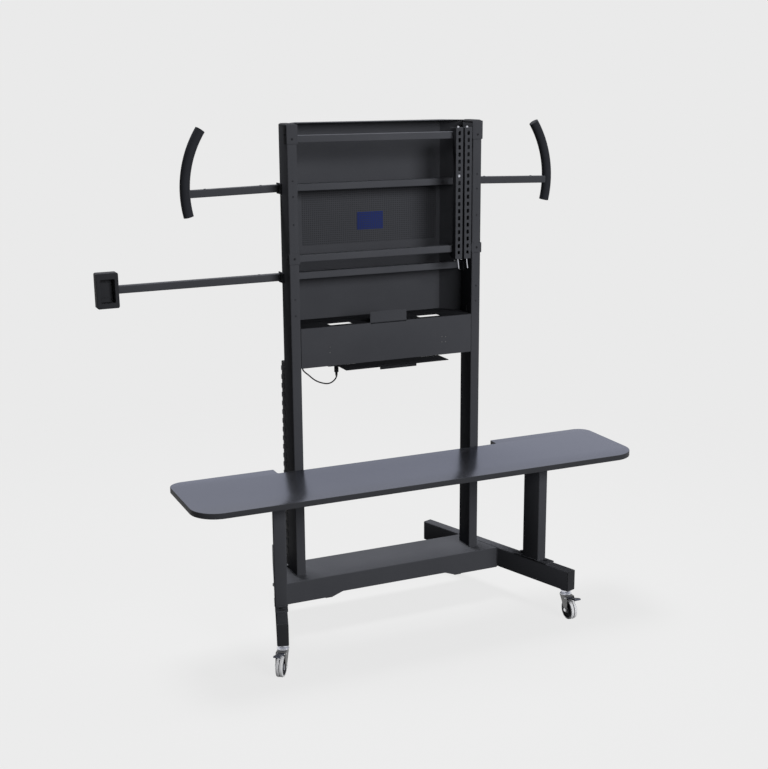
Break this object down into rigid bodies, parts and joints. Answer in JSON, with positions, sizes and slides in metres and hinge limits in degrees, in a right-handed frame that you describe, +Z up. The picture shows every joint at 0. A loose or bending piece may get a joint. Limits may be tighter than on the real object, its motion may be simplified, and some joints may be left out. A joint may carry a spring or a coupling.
{
  "type": "mobile tv stand",
  "caption": "Wheeled display stand with two columns, slotted display brackets on cross rails, a rear cable pan, a tray, a wide shelf, sliding side handles and a sliding control box.",
  "frame": {"origin": "bottom centre of the bounding box, on the floor under the stand", "axes": "+Z up, -Y the front that the display faces, +X the right-hand side seen from the front"},
  "size_m": [1.9028, 0.7948, 1.819],
  "materials": {
    "black_steel": "fine satin black powder coat",
    "black_plastic": "matt black moulded plastic",
    "grip": "smooth satin black sleeve",
    "board": "grey laminate with a dark edge",
    "zinc": "bright zinc plate",
    "chrome": "polished chrome plate",
    "tread": "light grey rubber tread"
  },
  "bodies": {
    "stand": {"base_beam": "black_steel", "left_leg": "black_steel", "right_leg": "black_steel", "front_left_leg_cap": "black_plastic", "front_right_leg_cap": "black_plastic", "rear_left_leg_cap": "black_plastic", "rear_right_leg_cap": "black_plastic", "front_left_caster_head": "zinc", "front_right_caster_head": "zinc", "rear_left_caster_head": "zinc", "rear_right_caster_head": "zinc", "left_post": "black_steel", "right_post": "black_steel", "shelf": "board", "left_column": "black_steel", "right_column": "black_steel", "left_column_cap": "black_plastic", "right_column_cap": "black_plastic", "top_rail": "black_steel", "low_rail": "black_steel", "upper_rear_rail": "black_steel", "lower_rear_rail": "black_steel", "rear_pan": "black_steel", "perforated_insert": "black_steel", "front_panel": "black_steel", "front_ledge": "black_steel", "cable_chain": "black_plastic", "power_outlet": "black_plastic", "lead_plug": "black_plastic", "lead_gland": "black_plastic", "lead_cord": "black_plastic"},
    "front_left_swivel": {"front_left_caster_fork": "zinc", "front_left_caster_axle": "chrome"},
    "front_right_swivel": {"front_right_caster_fork": "zinc", "front_right_caster_axle": "chrome"},
    "rear_left_swivel": {"rear_left_caster_fork": "zinc", "rear_left_caster_axle": "chrome"},
    "rear_right_swivel": {"rear_right_caster_fork": "zinc", "rear_right_caster_axle": "chrome"},
    "front_left_wheel": {"front_left_caster_wheel": "tread"},
    "front_right_wheel": {"front_right_caster_wheel": "tread"},
    "rear_left_wheel": {"rear_left_caster_wheel": "tread"},
    "rear_right_wheel": {"rear_right_caster_wheel": "tread"},
    "front_left_brake": {"front_left_caster_pedal": "black_plastic"},
    "front_right_brake": {"front_right_caster_pedal": "black_plastic"},
    "rear_left_brake": {"rear_left_caster_pedal": "black_plastic"},
    "rear_right_brake": {"rear_right_caster_pedal": "black_plastic"},
    "right_display_bracket": {"right_bracket": "black_steel", "right_bracket_rod": "chrome", "right_bracket_screw": "chrome"},
    "left_display_bracket": {"left_bracket": "black_steel", "left_bracket_rod": "chrome", "left_bracket_screw": "chrome"},
    "left_handle": {"left_handle_arm": "black_steel", "left_grip": "grip"},
    "right_handle": {"right_handle_arm": "black_steel", "right_grip": "grip"},
    "control": {"control_arm": "black_steel", "control_box": "black_plastic"}
  },
  "joints": [
    {"name": "front_left_caster_swivel", "type": "hinge", "parent": "stand", "child": "front_left_swivel", "pos_m": [-0.48068, -0.3134, 0.09], "axis": [0, 0, 1], "continuous": true},
    {"name": "front_right_caster_swivel", "type": "hinge", "parent": "stand", "child": "front_right_swivel", "pos_m": [0.63948, -0.3134, 0.09], "axis": [0, 0, 1], "continuous": true},
    {"name": "rear_left_caster_swivel", "type": "hinge", "parent": "stand", "child": "rear_left_swivel", "pos_m": [-0.25736, 0.36741, 0.09], "axis": [0, 0, 1], "continuous": true},
    {"name": "rear_right_caster_swivel", "type": "hinge", "parent": "stand", "child": "rear_right_swivel", "pos_m": [0.41616, 0.36741, 0.09], "axis": [0, 0, 1], "continuous": true},
    {"name": "front_left_wheel_spin", "type": "hinge", "parent": "front_left_swivel", "child": "front_left_wheel", "pos_m": [-0.49634, -0.33661, 0.037], "axis": [0.829, -0.5592, 0], "continuous": true},
    {"name": "front_right_wheel_spin", "type": "hinge", "parent": "front_right_swivel", "child": "front_right_wheel", "pos_m": [0.63948, -0.3414, 0.037], "axis": [1, 0, 0], "continuous": true},
    {"name": "rear_left_wheel_spin", "type": "hinge", "parent": "rear_left_swivel", "child": "rear_left_wheel", "pos_m": [-0.26694, 0.3411, 0.037], "axis": [0.9397, -0.342, 0], "continuous": true},
    {"name": "rear_right_wheel_spin", "type": "hinge", "parent": "rear_right_swivel", "child": "rear_right_wheel", "pos_m": [0.42198, 0.34002, 0.037], "axis": [0.9781, 0.2079, 0], "continuous": true},
    {"name": "front_left_brake_pedal", "type": "hinge", "parent": "front_left_swivel", "child": "front_left_brake", "pos_m": [-0.4941, -0.3333, 0.081], "axis": [0.829, -0.5592, 0], "range_deg": [0, 9]},
    {"name": "front_right_brake_pedal", "type": "hinge", "parent": "front_right_swivel", "child": "front_right_brake", "pos_m": [0.63948, -0.3374, 0.081], "axis": [1, 0, 0], "range_deg": [0, 9]},
    {"name": "rear_left_brake_pedal", "type": "hinge", "parent": "rear_left_swivel", "child": "rear_left_brake", "pos_m": [-0.26557, 0.34486, 0.081], "axis": [0.9397, -0.342, 0], "range_deg": [0, 9]},
    {"name": "rear_right_brake_pedal", "type": "hinge", "parent": "rear_right_swivel", "child": "rear_right_brake", "pos_m": [0.42115, 0.34393, 0.081], "axis": [0.9781, 0.2079, 0], "range_deg": [0, 9]},
    {"name": "right_bracket_slide", "type": "slide", "parent": "stand", "child": "right_display_bracket", "axis": [1, 0, 0], "range_m": [-0.18, 0]},
    {"name": "left_bracket_slide", "type": "slide", "parent": "right_display_bracket", "child": "left_display_bracket", "axis": [1, 0, 0], "range_m": [-0.4, 0]},
    {"name": "left_handle_slide", "type": "slide", "parent": "stand", "child": "left_handle", "axis": [-1, 0, 0], "range_m": [0, 0.12]},
    {"name": "right_handle_slide", "type": "slide", "parent": "stand", "child": "right_handle", "axis": [1, 0, 0], "range_m": [0, 0.12]},
    {"name": "control_arm_slide", "type": "slide", "parent": "stand", "child": "control", "axis": [-1, 0, 0], "range_m": [0, 0.22]}
  ]
}
